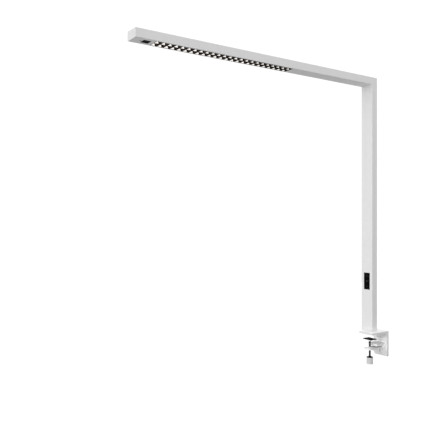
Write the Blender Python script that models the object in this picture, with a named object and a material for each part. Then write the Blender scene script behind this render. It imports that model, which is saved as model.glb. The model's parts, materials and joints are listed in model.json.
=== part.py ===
"""Desk-clamped LED task lamp: a mitred arm and column on a screw clamp.

Frame: metres, +Z up. The origin is where the clamp's liner rests on the desk,
straight above the clamp screw. +X points from the lamp's tip to its column,
and +Y completes a right-handed frame.
"""

import math

import bmesh
import bpy
from mathutils import Matrix, Vector

GAP = 0.0003                 # clearance between neighbouring solids

# Clamp bracket
LINER_T = 0.0012
PLATE_T = 0.008
PLATE_BOTTOM = LINER_T + GAP
PLATE_TOP = PLATE_BOTTOM + PLATE_T
PLATE_FRONT = -0.025
PLATE_HALF_WIDTH = 0.035
BACK_FRONT = 0.065           # face of the back leg that meets the desk edge
BACK_REAR = 0.075
BACK_BOTTOM = PLATE_TOP - 0.1045
SLOT_WIDTH = 0.010
SLOT_TOP = -0.0450
SLOT_BOTTOM = -0.0860
EDGE_GRUB_R = 0.0015         # set screw in the back leg's near side face
EDGE_GRUB_X = BACK_FRONT + 0.0043
EDGE_GRUB_Z = BACK_BOTTOM + 0.0035
EDGE_GRUB_LENGTH = 0.006

# Lower jaw
JAW_FLANGE_TOP = PLATE_TOP - 0.0505
JAW_FLANGE_T = 0.008
JAW_FLANGE_FRONT = 0.016
JAW_WEB_T = 0.009
JAW_HALF_WIDTH = 0.025
TONGUE_TOP = PLATE_TOP - 0.066
TONGUE_T = 0.007
TONGUE_FRONT = -0.016
TONGUE_HALF_WIDTH = 0.0175
LUG_TOP = -0.0455
LUG_HEIGHT = 0.016
LUG_DEPTH = 0.006
JAW_SCREW_HEIGHTS = (-0.0490, -0.0580)
JAW_SCREW_R = 0.0025
INSERT_R = 0.0065
INSERT_PROUD = 0.0045        # how far the threaded bush stands above the tongue

# Clamp screw and pressure pad
PAD_TOP = PLATE_TOP - 0.0278
PAD_LENGTH = 0.034           # along X
PAD_WIDTH = 0.044            # along Y
PAD_FACING_T = 0.001
PAD_T = 0.0022
SPINDLE_R = 0.004
NECK_R = 0.0019
BALL_R = 0.0030
BALL_Z = PAD_TOP - 0.0084
BUSH_R = 0.0042
SOCKET_R = 0.0058
SOCKET_WALL = 0.0012
COLLAR_TOP = PLATE_TOP - 0.1000
KNOB_TOP = PLATE_TOP - 0.1060
KNOB_R = 0.013
KNOB_HEIGHT = 0.0262

# Arm and column profile
PROFILE_DEPTH = 0.030
PROFILE_WIDTH = 0.057
PROFILE_WALL = 0.002
PROFILE_CORNER_R = 0.0012
ARM_LENGTH = 1.100
COLUMN_HEIGHT = 1.049
COLUMN_FRONT = 0.005
COLUMN_REAR = COLUMN_FRONT + PROFILE_DEPTH
PROFILE_Y = 0.020            # the profile's middle, off to one side of the clamp screw
ARM_TIP = COLUMN_REAR - ARM_LENGTH
ARM_TOP = PLATE_TOP + COLUMN_HEIGHT
ARM_BOTTOM = ARM_TOP - PROFILE_DEPTH
END_CAP_T = 0.003

# Light head
LOUVRE_START = ARM_TIP + 0.073
CELL_PITCH = 0.0238
CELL_COUNT = 24
CELL_ROWS = 2
LOUVRE_LENGTH = CELL_PITCH * CELL_COUNT
LOUVRE_WIDTH = 0.051
LOUVRE_DEPTH = 0.014
CROSS_BLADE_T = 0.0078
LONG_BLADE_T = 0.0016
OPTIC_T = 0.002
BOARD_T = 0.0016
BOARD_COUNT = 2
DRIVER_START = LOUVRE_START + LOUVRE_LENGTH + 0.030
DRIVER_END = DRIVER_START + 0.180

# Sensors at the tip, on the arm's underside
LIGHT_SENSOR_X = ARM_TIP + 0.0295
LIGHT_SENSOR_R = 0.0023
WINDOW_START = ARM_TIP + 0.036
WINDOW_LENGTH = 0.026
WINDOW_WIDTH = 0.027

# Touch panel on the column
PANEL_WIDTH = 0.030
PANEL_BOTTOM = PLATE_TOP + 0.172
PANEL_HEIGHT = 0.069
PANEL_T = 0.002

# Column foot and corner
FOOT_HEIGHT = 0.040
CHANNEL_Y = 0.034            # beyond this the profile stays free for the wires
FOOT_SCREW_YS = (0.003, 0.025)
FOOT_SCREW_X = COLUMN_FRONT + PROFILE_DEPTH / 2
FOOT_GRUB_HEIGHTS = (0.020, 0.040)
CORNER_LEG = 0.070
CORNER_LEG_T = 0.008
CORNER_SCREW_PITCH = 0.022
CORNER_SCREW_INSET = 0.016
CORNER_SCREW_Y = 0.014
SCREW_HEAD_R = 0.0035
SCREW_SHANK_R = 0.002
FLAT_HEAD_T = 0.0019
GRUB_R = 0.0024
WIRE_Y = 0.0405
INLET_R = 0.0040
INLET_BORE_R = 0.0028
INLET_DEPTH = 0.0120
INLET_FLOOR_T = 0.0020
INLET_PROUD = 0.0003
BEYOND = 0.010               # how far a cutter starts outside the piece it cuts
THROUGH = 0.030              # length of a cutter for a hole right through a piece

CIRCLE = 32                  # sides of a round piece


def clear_scene():
    for obj in list(bpy.data.objects):
        bpy.data.objects.remove(obj, do_unlink=True)


def material(name, colour, roughness, metallic=0.0):
    mat = bpy.data.materials.new(name)
    mat.use_nodes = True
    shader = mat.node_tree.nodes["Principled BSDF"]
    shader.inputs["Base Color"].default_value = (*colour, 1.0)
    shader.inputs["Roughness"].default_value = roughness
    shader.inputs["Metallic"].default_value = metallic
    return mat


def white_paint():
    return material("white_paint", (0.80, 0.80, 0.81), 0.45)


def black_plastic():
    return material("black_plastic", (0.012, 0.012, 0.013), 0.4)


def black_glass():
    return material("black_glass", (0.004, 0.004, 0.005), 0.08)


def bare_aluminium():
    return material("bare_aluminium", (0.72, 0.73, 0.74), 0.35, 1.0)


def zinc_steel():
    return material("zinc_steel", (0.55, 0.55, 0.54), 0.3, 1.0)


def black_steel():
    return material("black_steel", (0.02, 0.02, 0.022), 0.35, 0.6)


def rubber():
    return material("rubber", (0.03, 0.03, 0.03), 0.85)


def circuit_board():
    return material("circuit_board", (0.75, 0.78, 0.76), 0.5)


def green_board():
    return material("green_board", (0.02, 0.16, 0.07), 0.45)


def opal_optic():
    return material("opal_optic", (0.95, 0.94, 0.90), 0.5)


def wire_sleeve():
    return material("wire_sleeve", (0.05, 0.05, 0.055), 0.6)


def add_object(name, bm, mat, smooth=False):
    bmesh.ops.recalc_face_normals(bm, faces=bm.faces)
    mesh = bpy.data.meshes.new(name)
    bm.to_mesh(mesh)
    bm.free()
    mesh.materials.append(mat)
    if smooth:
        mesh.shade_smooth()
        mesh.set_sharp_from_angle(angle=math.radians(35))
    obj = bpy.data.objects.new(name, mesh)
    bpy.context.collection.objects.link(obj)
    return obj


def set_origin(obj, point):
    """Move the object's origin to a world point and leave its shape in place."""
    obj.data.transform(Matrix.Translation(-Vector(point)))
    obj.location = point
    return obj


def block_mesh(low, high, bevel=0.0):
    bm = bmesh.new()
    bmesh.ops.create_cube(bm, size=1.0)
    low = Vector(low)
    size = Vector(high) - low
    for vert in bm.verts:
        vert.co = Vector((vert.co[i] + 0.5) * size[i] + low[i] for i in range(3))
    if bevel:
        bmesh.ops.bevel(bm, geom=bm.edges[:], offset=bevel, segments=2, affect="EDGES", profile=0.5)
    return bm


def block(name, low, high, mat, bevel=0.0):
    return add_object(name, block_mesh(low, high, bevel), mat)


def as_cutter(obj):
    obj.hide_render = True
    obj.display_type = "WIRE"
    return obj


def cut_block(target, low, high):
    name = target.name + "_cut"
    cutter = as_cutter(add_object(name, block_mesh(low, high), target.data.materials[0]))
    return boolean(target, cutter, "DIFFERENCE")


def boolean(target, tool, operation):
    modifier = target.modifiers.new(operation.lower(), "BOOLEAN")
    modifier.operation = operation
    modifier.solver = "EXACT"
    modifier.object = tool
    return target


def turned_mesh(profile, steps=CIRCLE):
    """Closed lathe body about Z. profile runs round the section as (radius, z) points."""
    bm = bmesh.new()
    rings = []
    for radius, height in profile:
        if radius == 0.0:
            rings.append([bm.verts.new((0.0, 0.0, height))])
            continue
        angles = [2 * math.pi * i / steps for i in range(steps)]
        rings.append([bm.verts.new((radius * math.cos(a), radius * math.sin(a), height)) for a in angles])
    solid = profile[0][0] == 0.0 and profile[-1][0] == 0.0
    pairs = list(zip(rings, rings[1:]))
    if not solid:
        pairs.append((rings[-1], rings[0]))
    for lower, upper in pairs:
        join_rings(bm, lower, upper, steps)
    return bm


def join_rings(bm, first, second, steps):
    for i in range(steps):
        j = (i + 1) % steps
        lower = (first[i % len(first)], first[j % len(first)])
        upper = (second[j % len(second)], second[i % len(second)])
        corners = lower + upper
        unique = list(dict.fromkeys(corners))
        if len(unique) > 2:
            bm.faces.new(unique)


def turned(name, profile, mat, centre=(0.0, 0.0, 0.0), axis="Z", steps=CIRCLE):
    """Lathe piece whose own +Z lies along the given axis."""
    bm = turned_mesh(profile, steps)
    turn = {
        "Z": Matrix.Identity(3),
        "X": Matrix.Rotation(math.radians(90), 3, "Y"),
        "-Y": Matrix.Rotation(math.radians(90), 3, "X"),
    }[axis]
    bmesh.ops.rotate(bm, verts=bm.verts, cent=(0, 0, 0), matrix=turn)
    bmesh.ops.translate(bm, verts=bm.verts, vec=centre)
    return add_object(name, bm, mat, smooth=True)


def cut_turned(target, profile, start, axis="Z", steps=CIRCLE):
    """Cut away a lathe shape whose own origin is at start."""
    name = target.name + "_hole"
    cutter = as_cutter(turned(name, profile, target.data.materials[0], start, axis, steps))
    return boolean(target, cutter, "DIFFERENCE")


def cut_round(target, radius, start, length, axis="Z", steps=20):
    """Cut a round hole that begins at start and runs along the axis."""
    profile = [(0.0, 0.0), (radius, 0.0), (radius, length), (0.0, length)]
    return cut_turned(target, profile, start, axis, steps)


def prism(name, outline, low, high, mat, axis="Y"):
    """Extrude a flat outline, (x, z) points for axis Y or (y, z) points for axis X."""
    bm = bmesh.new()
    place = {
        "Y": lambda point, depth: (point[0], depth, point[1]),
        "X": lambda point, depth: (depth, point[0], point[1]),
    }[axis]
    first = [bm.verts.new(place(point, low)) for point in outline]
    second = [bm.verts.new(place(point, high)) for point in outline]
    bm.faces.new(first)
    bm.faces.new(second)
    for i in range(len(outline)):
        j = (i + 1) % len(outline)
        bm.faces.new((first[i], first[j], second[j], second[i]))
    return add_object(name, bm, mat)


def rounded_rectangle(width, depth, radius, steps=4):
    """Outline of a rectangle centred on zero, with round corners."""
    points = []
    for corner, (sign_a, sign_b) in enumerate(((1, 1), (-1, 1), (-1, -1), (1, -1))):
        centre_a = sign_a * (width / 2 - radius)
        centre_b = sign_b * (depth / 2 - radius)
        for step in range(steps + 1):
            angle = math.radians(90 * corner + 90 * step / steps)
            points.append((centre_a + radius * math.cos(angle), centre_b + radius * math.sin(angle)))
    return points


def profile_outlines():
    outer = rounded_rectangle(PROFILE_WIDTH, PROFILE_DEPTH, PROFILE_CORNER_R)
    inner_width = PROFILE_WIDTH - 2 * PROFILE_WALL
    inner_depth = PROFILE_DEPTH - 2 * PROFILE_WALL
    inner = rounded_rectangle(inner_width, inner_depth, 0.0005)
    return outer, inner


def mitred_tube(name, mat, place):
    """Hollow profile. place(across, depth, end) puts a section point at end 0 or 1."""
    bm = bmesh.new()
    outer, inner = profile_outlines()
    loops = []
    for end in (0, 1):
        loops.append([[bm.verts.new(place(a, b, end)) for a, b in outline] for outline in (outer, inner)])
    count = len(outer)
    for i in range(count):
        j = (i + 1) % count
        for wall in (0, 1):
            bm.faces.new((loops[0][wall][i], loops[0][wall][j], loops[1][wall][j], loops[1][wall][i]))
        for end in (0, 1):
            bm.faces.new((loops[end][0][i], loops[end][0][j], loops[end][1][j], loops[end][1][i]))
    return add_object(name, bm, mat, smooth=True)


def arm_profile(mat):
    """The arm: square at the tip, mitred at 45 degrees where it meets the column."""
    middle = ARM_BOTTOM + PROFILE_DEPTH / 2
    start = ARM_TIP + END_CAP_T + GAP

    def place(across, depth, end):
        mitre = COLUMN_FRONT + (depth + PROFILE_DEPTH / 2) - GAP
        return (mitre if end else start, PROFILE_Y + across, middle + depth)

    arm = mitred_tube("arm_profile", mat, place)
    floor = ARM_BOTTOM - BEYOND
    ceiling = ARM_BOTTOM + 3 * PROFILE_WALL
    cut_block(
        arm,
        (LOUVRE_START, PROFILE_Y - LOUVRE_WIDTH / 2, floor),
        (LOUVRE_START + LOUVRE_LENGTH, PROFILE_Y + LOUVRE_WIDTH / 2, ceiling),
    )
    cut_block(
        arm,
        (WINDOW_START - GAP, PROFILE_Y - WINDOW_WIDTH / 2 - GAP, floor),
        (WINDOW_START + WINDOW_LENGTH + GAP, PROFILE_Y + WINDOW_WIDTH / 2 + GAP, ceiling),
    )
    cut_round(arm, LIGHT_SENSOR_R + GAP, (LIGHT_SENSOR_X, PROFILE_Y, floor), ceiling - floor)
    for x in corner_screw_xs():
        cut_round(arm, SCREW_HEAD_R + GAP, (x, CORNER_SCREW_Y, ARM_TOP - 2 * PROFILE_WALL), BEYOND)
    return arm


def column_profile(mat):
    """The column: square at the foot, mitred at the top, with the touch panel's window."""
    middle = COLUMN_FRONT + PROFILE_DEPTH / 2
    start = PLATE_TOP + GAP

    def place(across, depth, end):
        mitre = ARM_BOTTOM + (depth + PROFILE_DEPTH / 2) - GAP
        return (middle + depth, PROFILE_Y + across, mitre if end else start)

    column = mitred_tube("column_profile", mat, place)
    half = PANEL_WIDTH / 2 + GAP
    cut_block(
        column,
        (COLUMN_FRONT - BEYOND, PROFILE_Y - half, PANEL_BOTTOM - GAP),
        (COLUMN_FRONT + 3 * PROFILE_WALL, PROFILE_Y + half, PANEL_BOTTOM + PANEL_HEIGHT + GAP),
    )
    inside_rear = COLUMN_REAR - 2 * PROFILE_WALL
    for z in corner_screw_zs():
        cut_round(column, SCREW_HEAD_R + GAP, (inside_rear, CORNER_SCREW_Y, z), BEYOND, "X")
    for z in FOOT_GRUB_HEIGHTS:
        cut_round(column, GRUB_R + GAP, (inside_rear, CORNER_SCREW_Y, z), BEYOND, "X")
    return column


def corner_screw_xs():
    first = COLUMN_FRONT - CORNER_SCREW_INSET
    return [first - i * CORNER_SCREW_PITCH for i in range(2)]


def corner_screw_zs():
    first = ARM_BOTTOM - CORNER_SCREW_INSET
    return [first - i * CORNER_SCREW_PITCH for i in range(2)]


def arm_end_cap(mat):
    """Flat cap at the tip with a spigot inside the profile."""
    bm = bmesh.new()
    outer, inner = profile_outlines()
    shrink_across = 1 - 2 * GAP / (PROFILE_WIDTH - 2 * PROFILE_WALL)
    shrink_depth = 1 - 2 * GAP / (PROFILE_DEPTH - 2 * PROFILE_WALL)
    spigot = [(a * shrink_across, b * shrink_depth) for a, b in inner]
    plate_end = ARM_TIP + END_CAP_T
    spigot_end = plate_end + 0.008
    middle = ARM_BOTTOM + PROFILE_DEPTH / 2
    stations = ((outer, ARM_TIP), (outer, plate_end), (spigot, plate_end), (spigot, spigot_end))
    rings = [[bm.verts.new((x, PROFILE_Y + a, middle + b)) for a, b in outline] for outline, x in stations]
    for first, second in zip(rings, rings[1:]):
        join_rings(bm, first, second, len(outer))
    bm.faces.new(rings[0])
    bm.faces.new(rings[-1])
    return add_object("arm_end_cap", bm, mat, smooth=True)


def blade_lines(start, pitch, count, thickness):
    """Both faces of every blade along one direction; the first and the last are half blades."""
    lines = []
    for i in range(count + 1):
        centre = start + i * pitch
        lines += [centre - thickness / 2, centre + thickness / 2]
    lines[0] = start + GAP
    lines[-1] = start + count * pitch - GAP
    return lines


def louvre_grid(mat):
    """Anti-glare grid: two rows of open cells between broad cross blades and thin long ones."""
    xs = blade_lines(LOUVRE_START, CELL_PITCH, CELL_COUNT, CROSS_BLADE_T)
    ys = blade_lines(PROFILE_Y - LOUVRE_WIDTH / 2, LOUVRE_WIDTH / CELL_ROWS, CELL_ROWS, LONG_BLADE_T)
    zs = (ARM_BOTTOM, ARM_BOTTOM + LOUVRE_DEPTH)
    bm = bmesh.new()
    verts = {}

    def vert(i, j, k):
        if (i, j, k) not in verts:
            verts[i, j, k] = bm.verts.new((xs[i], ys[j], zs[k]))
        return verts[i, j, k]

    def is_solid(i, j):
        inside = 0 <= i < len(xs) - 1 and 0 <= j < len(ys) - 1
        return inside and (i % 2 == 0 or j % 2 == 0)

    for i in range(len(xs) - 1):
        for j in range(len(ys) - 1):
            if not is_solid(i, j):
                continue
            for k in (0, 1):
                bm.faces.new((vert(i, j, k), vert(i + 1, j, k), vert(i + 1, j + 1, k), vert(i, j + 1, k)))
            sides = (
                ((i - 1, j), (i, j), (i, j + 1)),
                ((i + 1, j), (i + 1, j), (i + 1, j + 1)),
                ((i, j - 1), (i, j), (i + 1, j)),
                ((i, j + 1), (i, j + 1), (i + 1, j + 1)),
            )
            for neighbour, a, b in sides:
                if not is_solid(*neighbour):
                    bm.faces.new((vert(*a, 0), vert(*b, 0), vert(*b, 1), vert(*a, 1)))
    return add_object("louvre_grid", bm, mat)


def light_engine():
    """Optic, two LED boards and the channel that takes their heat to the profile."""
    start = LOUVRE_START + GAP
    end = LOUVRE_START + LOUVRE_LENGTH - GAP
    optic_bottom = ARM_BOTTOM + LOUVRE_DEPTH + GAP
    board_bottom = optic_bottom + OPTIC_T + GAP
    channel_bottom = board_bottom + BOARD_T + GAP
    half = LOUVRE_WIDTH / 2 - GAP
    block(
        "optic_strip",
        (start, PROFILE_Y - half, optic_bottom),
        (end, PROFILE_Y + half, optic_bottom + OPTIC_T),
        opal_optic(),
    )
    board_length = (end - start) / BOARD_COUNT
    board_mat = circuit_board()
    for i in range(BOARD_COUNT):
        low_x = start + i * board_length
        block(
            f"led_board_{i + 1}",
            (low_x, PROFILE_Y - 0.023, board_bottom),
            (low_x + board_length - GAP, PROFILE_Y + 0.023, board_bottom + BOARD_T),
            board_mat,
        )
    web = 0.002
    inner_top = ARM_TOP - PROFILE_WALL - GAP
    flange = half - web
    outline = [
        (PROFILE_Y - half, channel_bottom),
        (PROFILE_Y + half, channel_bottom),
        (PROFILE_Y + half, inner_top),
        (PROFILE_Y + flange, inner_top),
        (PROFILE_Y + flange, channel_bottom + web),
        (PROFILE_Y - flange, channel_bottom + web),
        (PROFILE_Y - flange, inner_top),
        (PROFILE_Y - half, inner_top),
    ]
    prism("heat_channel", outline, start, end, bare_aluminium(), "X")


def tip_sensors():
    window_half = WINDOW_WIDTH / 2
    window_top = ARM_BOTTOM + 0.0022
    block(
        "sensor_window",
        (WINDOW_START, PROFILE_Y - window_half, ARM_BOTTOM),
        (WINDOW_START + WINDOW_LENGTH, PROFILE_Y + window_half, window_top),
        black_glass(),
    )
    board_bottom = window_top + 0.0045
    lens = [(0.0, ARM_BOTTOM), (LIGHT_SENSOR_R, ARM_BOTTOM), (LIGHT_SENSOR_R, board_bottom - GAP),
            (0.0, board_bottom - GAP)]
    turned("light_sensor", lens, black_plastic(), (LIGHT_SENSOR_X, PROFILE_Y, 0.0), steps=16)
    can_r = 0.0045
    can = [(0.0, window_top + GAP), (can_r, window_top + GAP), (can_r, board_bottom - GAP),
           (0.0, board_bottom - GAP)]
    centre = (WINDOW_START + WINDOW_LENGTH / 2, PROFILE_Y, 0.0)
    turned("presence_sensor", can, zinc_steel(), centre, steps=24)
    block(
        "sensor_board",
        (ARM_TIP + 0.016, PROFILE_Y - 0.022, board_bottom),
        (LOUVRE_START - 0.004, PROFILE_Y + 0.022, board_bottom + BOARD_T),
        green_board(),
    )


def led_driver():
    low = (DRIVER_START, PROFILE_Y - 0.020, ARM_BOTTOM + PROFILE_WALL + 0.002)
    high = (DRIVER_END, PROFILE_Y + 0.016, ARM_BOTTOM + PROFILE_WALL + 0.020)
    block("led_driver", low, high, white_paint(), 0.001)


def touch_controls():
    half = PANEL_WIDTH / 2
    block(
        "touch_panel",
        (COLUMN_FRONT - 0.0002, PROFILE_Y - half, PANEL_BOTTOM),
        (COLUMN_FRONT + PANEL_T, PROFILE_Y + half, PANEL_BOTTOM + PANEL_HEIGHT),
        black_glass(),
        0.0003,
    )
    board_x = COLUMN_FRONT + PANEL_T + GAP
    block(
        "touch_board",
        (board_x, PROFILE_Y - half + 0.001, PANEL_BOTTOM + 0.002),
        (board_x + BOARD_T, PROFILE_Y + half - 0.001, PANEL_BOTTOM + PANEL_HEIGHT - 0.002),
        green_board(),
    )


def corner_joint():
    """L bracket on the inside of the outer walls, with two screws in each leg."""
    top = ARM_TOP - PROFILE_WALL - GAP
    rear = COLUMN_REAR - PROFILE_WALL - GAP
    arm_end = COLUMN_FRONT - CORNER_LEG
    column_end = ARM_BOTTOM - CORNER_LEG
    outline = [
        (arm_end, top),
        (rear, top),
        (rear, column_end),
        (rear - CORNER_LEG_T, column_end),
        (rear - CORNER_LEG_T, top - CORNER_LEG_T),
        (arm_end, top - CORNER_LEG_T),
    ]
    near_y = PROFILE_Y - PROFILE_WIDTH / 2 + PROFILE_WALL + GAP
    bracket = prism("corner_bracket", outline, near_y, CHANNEL_Y, bare_aluminium())
    shank = PROFILE_WALL + GAP + CORNER_LEG_T - 0.0013
    screw_mat = zinc_steel()
    for i, x in enumerate(corner_screw_xs()):
        cut_round(bracket, SCREW_SHANK_R + GAP, (x, CORNER_SCREW_Y, top - 2 * BEYOND), THROUGH)
        flat_head_screw(f"corner_screw_{i + 1}", (x, CORNER_SCREW_Y, ARM_TOP), shank, screw_mat, "up")
    for i, z in enumerate(corner_screw_zs()):
        cut_round(bracket, SCREW_SHANK_R + GAP, (rear - 2 * BEYOND, CORNER_SCREW_Y, z), THROUGH, "X")
        flat_head_screw(f"corner_screw_{i + 3}", (COLUMN_REAR, CORNER_SCREW_Y, z), shank, screw_mat, "rear")


def flat_head_screw(name, head_centre, length, mat, facing):
    """Screw whose flat head has its outer face at head_centre."""
    socket_r = 0.0012
    socket_depth = 0.0013
    profile = [
        (0.0, -length),
        (SCREW_SHANK_R, -length),
        (SCREW_SHANK_R, -FLAT_HEAD_T),
        (SCREW_HEAD_R, -FLAT_HEAD_T),
        (SCREW_HEAD_R, 0.0),
        (socket_r, 0.0),
        (socket_r, -socket_depth),
        (0.0, -socket_depth),
    ]
    turns = {
        "up": Matrix.Identity(3),
        "down": Matrix.Rotation(math.radians(180), 3, "Y"),
        "rear": Matrix.Rotation(math.radians(90), 3, "Y"),
    }
    bm = turned_mesh(profile, 24)
    bmesh.ops.rotate(bm, verts=bm.verts, cent=(0, 0, 0), matrix=turns[facing])
    bmesh.ops.translate(bm, verts=bm.verts, vec=head_centre)
    return add_object(name, bm, mat, smooth=True)


def column_foot():
    """Block inside the column's base, held to the plate by two screws from below."""
    inner = PROFILE_WALL + GAP
    bottom = PLATE_TOP + GAP
    low = (COLUMN_FRONT + inner, PROFILE_Y - PROFILE_WIDTH / 2 + inner, bottom)
    high = (COLUMN_REAR - inner, CHANNEL_Y, bottom + FOOT_HEIGHT)
    foot = block("foot_block", low, high, bare_aluminium())
    screw_mat = zinc_steel()
    for i, y in enumerate(FOOT_SCREW_YS):
        cut_round(foot, SCREW_SHANK_R + GAP, (FOOT_SCREW_X, y, bottom - BEYOND), THROUGH)
        head = (FOOT_SCREW_X, y, PLATE_BOTTOM + GAP)
        flat_head_screw(f"foot_screw_{i + 1}", head, 0.026, screw_mat, "down")
    grub = 0.0060
    grub_mat = black_steel()
    for i, z in enumerate(FOOT_GRUB_HEIGHTS):
        outside = [(0.0, -grub), (GRUB_R, -grub), (GRUB_R, 0.0)]
        socket = [(0.0012, 0.0), (0.0012, -0.002), (0.0, -0.002)]
        centre = (COLUMN_REAR - 0.0004, CORNER_SCREW_Y, z)
        cut_round(foot, GRUB_R + GAP, (COLUMN_REAR - 0.012, CORNER_SCREW_Y, z), 2 * BEYOND, "X")
        turned(f"foot_grub_{i + 1}", outside + socket, grub_mat, centre, "X", 16)
    return foot


def power_inlet():
    """Cap under the column's overhang beside the clamp, with the socket facing down."""
    inner = PROFILE_WALL + GAP
    bottom = PLATE_TOP + GAP
    low_y = max(CHANNEL_Y + GAP, PLATE_HALF_WIDTH + GAP)
    low = (COLUMN_FRONT + inner, low_y, bottom)
    high = (COLUMN_REAR - inner, PROFILE_Y + PROFILE_WIDTH / 2 - inner, bottom + 0.0025)
    cap = block("inlet_cap", low, high, black_plastic())
    middle_x = FOOT_SCREW_X
    middle_y = (low[1] + high[1]) / 2
    cut_round(cap, INLET_R + GAP, (middle_x, middle_y, bottom - BEYOND), 3 * BEYOND)
    socket = [
        (0.0, INLET_DEPTH - INLET_FLOOR_T),
        (INLET_BORE_R, INLET_DEPTH - INLET_FLOOR_T),
        (INLET_BORE_R, -INLET_PROUD),
        (INLET_R, -INLET_PROUD),
        (INLET_R, INLET_DEPTH),
        (0.0, INLET_DEPTH),
    ]
    turned("power_inlet", socket, black_plastic(), (middle_x, middle_y, bottom), steps=24)
    return cap


def clamp_bracket(mat):
    """One L-shaped piece: the top plate and the slotted back leg."""
    outline = [
        (PLATE_FRONT, PLATE_BOTTOM),
        (PLATE_FRONT, PLATE_TOP),
        (BACK_REAR, PLATE_TOP),
        (BACK_REAR, BACK_BOTTOM),
        (BACK_FRONT, BACK_BOTTOM),
        (BACK_FRONT, PLATE_BOTTOM),
    ]
    bracket = prism("clamp_bracket", outline, -PLATE_HALF_WIDTH, PLATE_HALF_WIDTH, mat)
    cut_prism(bracket, lower_corner_outline())
    cut_prism(bracket, stadium(SLOT_WIDTH / 2, SLOT_TOP, SLOT_BOTTOM))
    head_r = SCREW_HEAD_R + GAP
    shank_r = SCREW_SHANK_R + GAP
    below = BEYOND
    head_end = below + FLAT_HEAD_T + 2 * GAP
    through = below + PLATE_T + BEYOND
    profile = [(0.0, 0.0), (head_r, 0.0), (head_r, head_end), (shank_r, head_end), (shank_r, through),
               (0.0, through)]
    for y in FOOT_SCREW_YS:
        cut_turned(bracket, profile, (FOOT_SCREW_X, y, PLATE_BOTTOM - below), steps=20)
    edge_grub(bracket)
    return bracket


def edge_grub(bracket):
    """Small set screw in a blind hole in the back leg's near side face."""
    face_y = -PLATE_HALF_WIDTH
    hole_start = (EDGE_GRUB_X, face_y + EDGE_GRUB_LENGTH + 2 * GAP, EDGE_GRUB_Z)
    cut_round(bracket, EDGE_GRUB_R + GAP, hole_start, EDGE_GRUB_LENGTH + BEYOND, "-Y", 16)
    socket_r = 0.0008
    socket_depth = 0.0012
    profile = [
        (0.0, -EDGE_GRUB_LENGTH),
        (EDGE_GRUB_R, -EDGE_GRUB_LENGTH),
        (EDGE_GRUB_R, 0.0),
        (socket_r, 0.0),
        (socket_r, -socket_depth),
        (0.0, -socket_depth),
    ]
    turned("edge_grub", profile, black_steel(), (EDGE_GRUB_X, face_y + GAP, EDGE_GRUB_Z), "-Y", 16)


def cut_prism(target, outline):
    """Cut a (y, z) outline right through the back leg."""
    name = target.name + "_cut"
    cutter = prism(name, outline, BACK_FRONT - BEYOND, BACK_REAR + BEYOND, target.data.materials[0], "X")
    return boolean(target, as_cutter(cutter), "DIFFERENCE")


def stadium(half_width, top, bottom):
    """Upright (y, z) outline with round ends."""
    steps = 10
    points = []
    for centre_z, first_angle in ((top - half_width, 0), (bottom + half_width, 180)):
        for i in range(steps + 1):
            angle = math.radians(first_angle + 180 * i / steps)
            points.append((half_width * math.cos(angle), centre_z + half_width * math.sin(angle)))
    return points


def lower_corner_outline():
    """What lies outside the quarter circle at the back leg's far lower corner."""
    radius = 0.012
    steps = 8
    outside = 0.005
    centre_y = PLATE_HALF_WIDTH - radius
    centre_z = BACK_BOTTOM + radius
    arc = [math.radians(-90 * i / steps) for i in range(steps + 1)]
    outline = [(centre_y + radius * math.cos(a), centre_z + radius * math.sin(a)) for a in arc]
    outline += [
        (centre_y, BACK_BOTTOM - outside),
        (PLATE_HALF_WIDTH + outside, BACK_BOTTOM - outside),
        (PLATE_HALF_WIDTH + outside, centre_z),
    ]
    return outline


def desk_liner(mat):
    inset = 0.007
    liner = block(
        "desk_liner",
        (PLATE_FRONT + inset, -PLATE_HALF_WIDTH + inset, 0.0),
        (BACK_FRONT - 0.003, PLATE_HALF_WIDTH - inset, LINER_T),
        mat,
    )
    for y in FOOT_SCREW_YS:
        cut_round(liner, SCREW_HEAD_R + 0.001, (FOOT_SCREW_X, y, -BEYOND), THROUGH)
    return liner


def lower_jaw(mat):
    """Casting with a short wide flange over a long narrow tongue, and a lug in the slot."""
    rear = BACK_FRONT - GAP
    web_front = rear - JAW_WEB_T
    flange_bottom = JAW_FLANGE_TOP - JAW_FLANGE_T
    tongue_bottom = TONGUE_TOP - TONGUE_T
    outline = [
        (JAW_FLANGE_FRONT, JAW_FLANGE_TOP),
        (rear, JAW_FLANGE_TOP),
        (rear, tongue_bottom),
        (web_front, tongue_bottom),
        (web_front, flange_bottom),
        (JAW_FLANGE_FRONT, flange_bottom),
    ]
    jaw = prism("lower_jaw", outline, -JAW_HALF_WIDTH, JAW_HALF_WIDTH, mat)
    tongue = block(
        "lower_jaw_tongue",
        (TONGUE_FRONT, -TONGUE_HALF_WIDTH, tongue_bottom),
        (web_front + 0.004, TONGUE_HALF_WIDTH, TONGUE_TOP),
        mat,
    )
    boolean(jaw, as_cutter(tongue), "UNION")
    outline = stadium(SLOT_WIDTH / 2 - GAP, LUG_TOP, LUG_TOP - LUG_HEIGHT)
    lug = prism("lower_jaw_lug", outline, rear - 0.004, rear + LUG_DEPTH, mat, "X")
    boolean(jaw, as_cutter(lug), "UNION")
    cut_round(jaw, INSERT_R + GAP, (0.0, 0.0, tongue_bottom - BEYOND), THROUGH)
    for z in JAW_SCREW_HEIGHTS:
        cut_round(jaw, JAW_SCREW_R + GAP, (web_front + 0.002, 0.0, z), THROUGH, "X")
    return jaw


def thread_insert(mat):
    """Threaded bush standing proud of the tongue, drawn with the screw's running clearance."""
    bottom = TONGUE_TOP - TONGUE_T
    top = TONGUE_TOP + INSERT_PROUD
    inner = SPINDLE_R + GAP
    chamfer = 0.0008
    profile = [
        (inner, bottom),
        (INSERT_R, bottom),
        (INSERT_R, top - chamfer),
        (INSERT_R - chamfer, top),
        (inner, top),
    ]
    return turned("thread_insert", profile, mat)


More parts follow.
